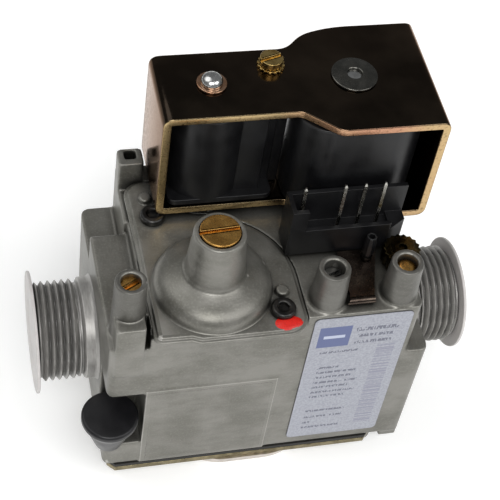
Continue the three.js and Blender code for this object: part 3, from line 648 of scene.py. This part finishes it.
# ---- coil yoke ----
# One strip of thick steel bent into a closed frame round both coils and zinc plated almost black.
# It is wider at the large coil. Its sheared edges stay copper and gold.
yoke_low, yoke_high = (np.array(corner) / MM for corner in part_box("coil_yoke"))
sheet, bend = 2.2, 2.8
front_plan = eased([(-30, 8.3, 0), (7.9, 8.3, 1.2), (16.3, 1.1, 1.6), (48, 1.1, 0)])
back_plan = eased([(-30, 30.4, 0), (8.6, 30.4, 2.5), (13.4, 35.2, 3), (21.5, 37.3, 5), (48, 37.3, 0)], 10)


def yoke_mesh():
    """Point = path(u) + inward normal(u) times depth(v) + Y between the front and back of the plan
    at that x. The path is the rounded frame in X and Z; v runs round the strip's section."""
    ring = eased([(yoke_low[0], yoke_low[2], bend), (yoke_high[0], yoke_low[2], bend),
                  (yoke_high[0], yoke_high[2], bend), (yoke_low[0], yoke_high[2], bend)], 8, loop=True)
    dense = np.concatenate([np.linspace(p, q, max(int(np.hypot(*(q - p)) / 0.45), 1), endpoint=False)
                            for p, q in zip(ring, np.roll(ring, -1, 0))])
    ahead = np.roll(dense, -1, 0) - np.roll(dense, 1, 0)
    ahead /= np.linalg.norm(ahead, axis=1, keepdims=True)
    inward = np.stack([-ahead[:, 1], ahead[:, 0]], -1)
    q = np.linspace(0, np.pi / 2, 5)
    soft = 0.38
    curve = np.stack([soft * (1 - np.sin(q)), soft * (1 - np.cos(q))], -1)
    offset = np.concatenate([curve[:, 0], curve[::-1, 0], -curve[:, 0], -curve[::-1, 0]])
    depth = np.concatenate([curve[:, 1], sheet - curve[::-1, 1], sheet - curve[:, 1], curve[::-1, 1]])
    at_back = np.repeat([0, 0, 1, 1], len(q))
    front = np.interp(dense[:, 0], *front_plan.T) + axis_y
    back = np.interp(dense[:, 0], *back_plan.T) + axis_y
    y = np.where(at_back, back[:, None], front[:, None]) + offset
    x = dense[:, :1] + inward[:, :1] * depth
    z = dense[:, 1:] + inward[:, 1:] * depth
    mesh = make_mesh("yoke", [closed_shell(np.stack([x, y, z], -1), loop=True)])
    sheared = mesh.attributes.new("sheared", "FLOAT", "POINT")
    edge = np.clip(np.minimum(depth, sheet - depth) / 0.3, 0, 1)
    sheared.data.foreach_set("value", np.broadcast_to(edge, x.shape).ravel().astype(np.float32))
    return mesh


def black_zinc():
    """Near-black bright zinc with an olive cast; sheared edges run from pink to gold."""
    zinc = Finish("black_zinc", {"Metallic": 1.0, "Specular Tint": (1.0, 0.82, 0.72, 1)})
    place = zinc.place()
    cloud = zinc.noise(place, 14, 3)
    spots = zinc.noise(place, 0.8, 3)
    sheared = zinc.add("ShaderNodeAttribute", {"attribute_name": "sheared"}, output="Fac")
    across = zinc.axes(place)[0]
    skin = zinc.between((0.026, 0.020, 0.015), (0.056, 0.042, 0.030), zinc.spread(cloud, 0.35, 0.65))
    from_copper = abs(across + (cloud - 0.5) * 26 - 23)
    tint = zinc.spread(from_copper, 6, 22)
    edge = zinc.between((0.56, 0.30, 0.19), (0.58, 0.43, 0.22), tint)
    worn = zinc.between(edge, (0.16, 0.09, 0.05), zinc.spread(spots, 0.55, 0.75, 0, 0.8))
    zinc.feed("Base Color", zinc.between(skin, worn, sheared))
    zinc.feed("Roughness", zinc.spread(spots + sheared * 0.5, 0.3, 1.2, 0.10, 0.36))
    zinc.relief(zinc.noise(place, 6, 2) + spots * 0.1, 0.08, 0.35)
    return zinc.material


dark_zinc = black_zinc()
fit("yoke_frame", yoke_mesh(), dark_zinc, stands_for=["coil_yoke"])


# ---- fixings on the yoke ----
# A dished lock disc on the large pole, a domed nut on the small one over a coppery washer, and a
# yellow passivated earth screw on a toothed washer.
yoke_top = yoke_high[2]
bright_steel = plated("bright_steel", (0.40, 0.40, 0.39), (0.58, 0.58, 0.57), 0.2)
grey_zinc = plated("grey_zinc", (0.085, 0.083, 0.075), (0.14, 0.135, 0.12), 0.22)
yellow_zinc = plated("yellow_zinc", (0.34, 0.22, 0.07), (0.52, 0.38, 0.15), 0.24)
copper_zinc = plated("copper_zinc", (0.40, 0.22, 0.13), (0.52, 0.33, 0.22), 0.2)
disc_profile = [(1.7, yoke_top + 0.25, 0), (5.85, yoke_top + 0.1, 0.2), (5.85, yoke_top + 0.65, 0.3),
                (3.1, yoke_top + 1.0, 0.6), (2.0, yoke_top + 1.0, 0.3), (1.7, yoke_top + 0.5, 0.2)]
fit("lock_disc", make_mesh("lock_disc", [turned(disc_profile, large_x, large_y, loop=True)]),
    grey_zinc, stands_for=["large_coil_lock_disc"])
washer_profile = [(1.8, yoke_top + 0.1, 0), (3.75, yoke_top + 0.1, 0.15), (3.75, yoke_top + 0.7, 0.25),
                  (1.8, yoke_top + 0.7, 0.2)]
fit("nut_washer", make_mesh("nut_washer", [turned(washer_profile, small_x, small_y, loop=True)]),
    copper_zinc, stands_for=["small_coil_washer"])
nut_profile = [(0.3, yoke_top + 0.75, 0), (2.75, yoke_top + 0.75, 0.2), (2.75, yoke_top + 1.5, 0.4),
               (2.2, yoke_top + 2.35, 0.8), (1.1, yoke_top + 2.85, 0.5), (0.2, yoke_top + 2.92, 0)]
fit("cap_nut", make_mesh("cap_nut", [turned(nut_profile, small_x, small_y)]), bright_steel,
    stands_for=["small_coil_cap_nut"])
earth_x, earth_y, _, earth_top = spot("earth_screw")


def toothed(r, z, a):
    """Sixteen small teeth on the rim of a washer."""
    return np.where(r > 2.6, r + 0.16 * np.sign(np.sin(16 * a)), r)


teeth_profile = [(1.5, yoke_top + 0.15, 0), (3.3, yoke_top + 0.15, 0.1), (3.3, yoke_top + 0.7, 0.15),
                 (1.5, yoke_top + 0.8, 0.1)]
teeth = turned(teeth_profile, earth_x, earth_y, 192, True, toothed)
fit("toothed_washer", make_mesh("toothed_washer", [teeth]), yellow_zinc,
    stands_for=["earth_washer"])
earth_shells = slotted(
    earth_x, earth_y, 2.9, earth_top - 1.75, earth_top - 0.8, earth_top, 0.8, 0.3)
fit("earth_screw_head", make_mesh("earth_head", earth_shells), yellow_zinc,
    stands_for=["earth_screw"])


# ---- coils ----
# Both windings are moulded into black glass-filled nylon. The small coil is a plain drum with a square
# foot and two webs, and a thin black sheet in the gap beside the large coil stands in as painted shade;
# the large one is flat in front with rounded corners.
black_plastic = moulded("black_nylon", (0.0045, 0.0045, 0.0052), 0.36, 0.05, 0.25)
coil_low, coil_high = yoke_low[2] + 2.5, yoke_high[2] - 2.5


def rounded_rectangle(x0, x1, y0, y1, radius, steps=12):
    """Four quarter circles, anticlockwise from the right back corner."""
    corners = ((x1, y1, 0), (x0, y1, 90), (x0, y0, 180), (x1, y0, 270))
    middle = ((x0 + x1) / 2, (y0 + y1) / 2)
    quarters = []
    for x, y, a in corners:
        centre_x = x - radius * np.sign(x - middle[0])
        centre_y = y - radius * np.sign(y - middle[1])
        quarters.append(arc(centre_x, centre_y, radius, a, a + 90, steps))
    return np.concatenate(quarters)


large_plan = rounded_rectangle(7.2, 40.6, axis_y + 3.0, axis_y + 35.6, 9, 20)
coil_wall = edges(coil_low, coil_high, 0.5, 0.7)
fit("large_coil_moulding", make_mesh("large_coil", [slab(large_plan, coil_wall)]), black_plastic,
    stands_for=["large_coil_case"])
drum = arc(small_x, small_y, 10.6, 0, 360 - 3.75, 96)
foot_plan = rounded_rectangle(-22.6, 4.4, axis_y + 8.9, axis_y + 29.8, 2.2)
# The third, thin web is a black sheet across the gap between the coils, put there as painted shade for the
# dark recess.
webs_and_shade_sheet = [rounded_rectangle(x0, x1, axis_y + y0, axis_y + y0 + deep, 0.35, 6)
        for x0, x1, y0, deep in ((-5.6, 1.2, 11.4, 1.4), (-3.4, 4.2, 14.4, 1.4), (3.6, 6.9, 15.0, 0.8))]
small_shells = [slab(drum, coil_wall), slab(foot_plan, edges(coil_low, coil_low + 1.7, 0.3, 0.5)),
                *[slab(web, edges(coil_low, coil_high, 0.2, 0.4)) for web in webs_and_shade_sheet]]
fit("small_coil_moulding", make_mesh("small_coil", small_shells), black_plastic,
    stands_for=["small_coil_case"])


# ---- guide tubes ----
# Each armature slides in a thin drawn stainless tube. Its wide foot seals on the deck and is
# clamped there by the yoke.
for name, x, y, foot in (("large", large_x, large_y, 11.5), ("small", small_x, small_y, 9.4)):
    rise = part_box(f"{name}_guide_tube")[0].z / MM + 4
    rim_top = yoke_low[2] - 0.4
    tube = turned([(0.4, rise - 0.1, 0), (foot, rise, 0.2), (foot, rim_top, 0.3), (0.4, rim_top, 0)], x, y)
    fit(f"{name}_tube_foot", make_mesh(name, [tube]), bright_steel)


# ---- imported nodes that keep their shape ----
# Flat and blocky pieces are used as they are packed, with their edges broken as moulding, pressing
# or cutting leaves them.
def dress(node, finish, broken=0.0):
    """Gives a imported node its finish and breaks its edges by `broken` millimetres."""
    part = nodes[node]
    for place in part.material_slots:
        place.material = finish
    if broken:
        part.modifiers.new("weld", "WELD").merge_threshold = 1e-6
        edge = part.modifiers.new("broken_edges", "BEVEL")
        edge.width = broken * MM
        edge.segments = 3
        edge.limit_method = "ANGLE"
        edge.angle_limit = np.radians(32)


olive_zinc = plated("olive_zinc", (0.028, 0.023, 0.013), (0.085, 0.064, 0.028), 0.2, 1.2)
brown_zinc = plated("brown_zinc", (0.060, 0.044, 0.036), (0.105, 0.082, 0.066), 0.2)
dress("connector_housing", black_plastic, 0.25)
dress("connector_screw", black_plastic, 0.15)
dress("yoke_clamp_tab", brown_zinc, 0.2)
dress("yoke_clamp_screw", olive_zinc, 0.12)
pin_metal = plated("tinned_brass", (0.36, 0.35, 0.32), (0.52, 0.51, 0.47), 0.22)
for number in (1, 2, 3, 4):
    dress(f"terminal_pin_{number}", pin_metal, 0.12)


# ---- bottom cover ----
# A pressed steel plate with one wide rounded bulge, over a black gasket. Four socket screws hold it
# up against the casting.
pressed_zinc = plated("pressed_zinc", (0.15, 0.125, 0.07), (0.26, 0.22, 0.13), 0.3, 1.5)
pan_zinc = plated("pan_zinc", (0.44, 0.40, 0.36), (0.60, 0.55, 0.51), 0.36, 1.5)
pan_plan = rounded_rectangle(-22, 19, axis_y - 26, axis_y + 20, 15, 30)
flat_low, flat_high = axis_z - 31.8, axis_z - 30.0
flat_plan = np.array([(-38.2, -26.2), (32.3, -26.2), (36.3, -22.2), (36.3, 23.6), (32.3, 27.6),
                      (-36.2, 27.6), (-40.2, 23.6), (-40.2, -24.2)]) + (0, axis_y)
pan_wall = eased([(1.9, 0, 0), (0.7, 0, 0.8), (0.1, 2.2, 0.8), (-0.7, flat_low + 0.1, 0)])
flat_wall = edges(flat_low, flat_high, 0.35, 0.3)
fit("bottom_cover_plate", make_mesh("cover_plate", [slab(flat_plan, flat_wall)]), pressed_zinc,
    stands_for=["bottom_plate"])
fit("bottom_cover_bulge", make_mesh("cover_bulge", [slab(pan_plan, pan_wall)]), pan_zinc)
rubber = moulded("black_rubber", (0.012, 0.011, 0.009), 0.6, 0.08, 0.3)
dress("bottom_gasket", rubber)
for number in (1, 2, 3, 4):
    node = f"bottom_screw_{number}"
    fit(f"{node}_head", make_mesh(node, [socket_head(node, 3.1, 1.9, 1.35, flip=True)]), black_steel,
        stands_for=[node])


# ---- throughput adjuster cap ----
# A moulded black knob that turns on a spigot at the front left corner: a flat disc with a bevelled
# rim on a cone.
knob_x, knob_y, knob_low, knob_high = spot("throughput_adjuster_cap")
knob_plastic = moulded("knob_plastic", (0.0060, 0.0058, 0.0070), 0.34, 0.05, 0.25)
knob = turned([(0.3, knob_low, 0), (3.6, knob_low, 0.5), (6.3, knob_high - 4.1, 0.8),
               (7.0, knob_high - 2.5, 0.3), (7.05, knob_high - 2.2, 0.1), (7.45, knob_high - 1.7, 0.2),
               (7.45, knob_high - 0.6, 0.3), (7.0, knob_high, 0.35), (0.3, knob_high, 0)], knob_x, knob_y)
fit("adjuster_knob", make_mesh("adjuster_knob", [knob]), knob_plastic, body="adjuster_cap",
    stands_for=["throughput_adjuster_cap"])


# ---- rating label ----
# A printed plastic film stuck on the front wall, with a plain blue panel, unreadable lines of grey
# dashes and a ladder of bars.
def label_finish():
    """Masks are products of steps in x and z. Lines are broken into dashes by fine noise."""
    film = Finish("printed_film", {"Metallic": 0.0})
    low, high = (np.array(corner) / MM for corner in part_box("rating_label"))
    place = film.place(centre=(low[0], 0, low[2]))
    x, _, z = film.axes(place)
    wide, tall = high[0] - low[0], high[2] - low[2]

    def window(x0, x1, z0, z1):
        """One inside the rectangle and nought outside it."""
        return (x > x0) * (x < x1) * (z > z0) * (z < z1)

    cloud = film.noise(place, 0.55, 3)
    paper = film.between((0.275, 0.285, 0.33), (0.375, 0.385, 0.43), film.spread(cloud, 0.35, 0.65))
    dashes = film.noise(film.place(stretch=(1, 1, 0.35)), 0.5, 1) > 0.47
    lines = 0.0
    for left, right, level, thick in (
            (11.4, 22.6, tall - 5.6, 1.5), (12.2, 21.6, tall - 8.4, 1.2), (11.8, 21.6, tall - 11.2, 1.2),
            (3.2, 13.4, tall - 14.6, 0.9), (3.6, 9.4, 33.2, 0.9), (3.6, 14.6, 31.0, 0.9),
            (3.6, 13.4, 28.8, 0.9), (3.6, 15.6, 26.4, 0.9), (3.6, 13.8, 24.2, 0.9), (3.6, 15.6, 21.8, 0.9),
            (3.6, 13.6, 19.6, 0.9), (3.6, 14.6, 12.6, 0.9), (3.6, 14.6, 9.6, 0.9), (3.6, 5.6, 6.9, 0.9),
            (3.6, 14.2, 4.4, 0.9)):
        lines = window(left, right, level - thick / 2, level + thick / 2) + lines
    bars = film.noise(film.place(stretch=(0, 0, 1)), 0.62, 1) > 0.5
    ladder = window(wide - 7.2, wide - 2.4, 4.2, tall - 13.2) * bars
    ink = film.between(paper, (0.075, 0.08, 0.12), lines * dashes * 0.8)
    barred = film.between(ink, (0.20, 0.20, 0.27), ladder * 0.72)
    panel = film.between(barred, (0.070, 0.095, 0.235), window(1.8, 10.2, tall - 12.2, tall - 3.6) * 0.92)
    band = film.between(panel, (0.52, 0.56, 0.68), window(3.2, 8.8, tall - 8.5, tall - 7.3) * 0.85)
    film.feed("Base Color", band)
    film.feed("Roughness", film.spread(cloud, 0.3, 0.7, 0.34, 0.5))
    film.relief(cloud, 0.02, 0.3)
    return film.material


dress("rating_label", label_finish())


# ---- what is inside ----
# Springs, plungers, seats, seals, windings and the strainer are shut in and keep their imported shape.
# They are plain steel, brass, rubber, nylon and enamelled copper.
enamel = plated("enamelled_copper", (0.30, 0.12, 0.05), (0.42, 0.18, 0.08), 0.3)
nylon = moulded("natural_nylon", (0.60, 0.57, 0.48), 0.45, 0.05)
inside = {
    bright_steel: ["inlet_strainer", "diaphragm_plate", "regulator_spring", "large_guide_tube",
                   "large_pole", "large_plunger", "large_plunger_spring", "small_guide_tube",
                   "small_pole", "small_plunger", "small_plunger_spring"],
    bright_brass: ["regulator_stem"],
    rubber: ["regulator_diaphragm", "regulator_poppet", "regulator_plug_o_ring", "large_tube_seal",
             "large_valve_disc", "small_tube_seal", "small_valve_disc"],
    nylon: ["regulator_adjuster", "large_coil_bobbin", "small_coil_bobbin"],
    enamel: ["large_coil_winding", "small_coil_winding"],
}
for finish, names in inside.items():
    for node in names:
        dress(node, finish)
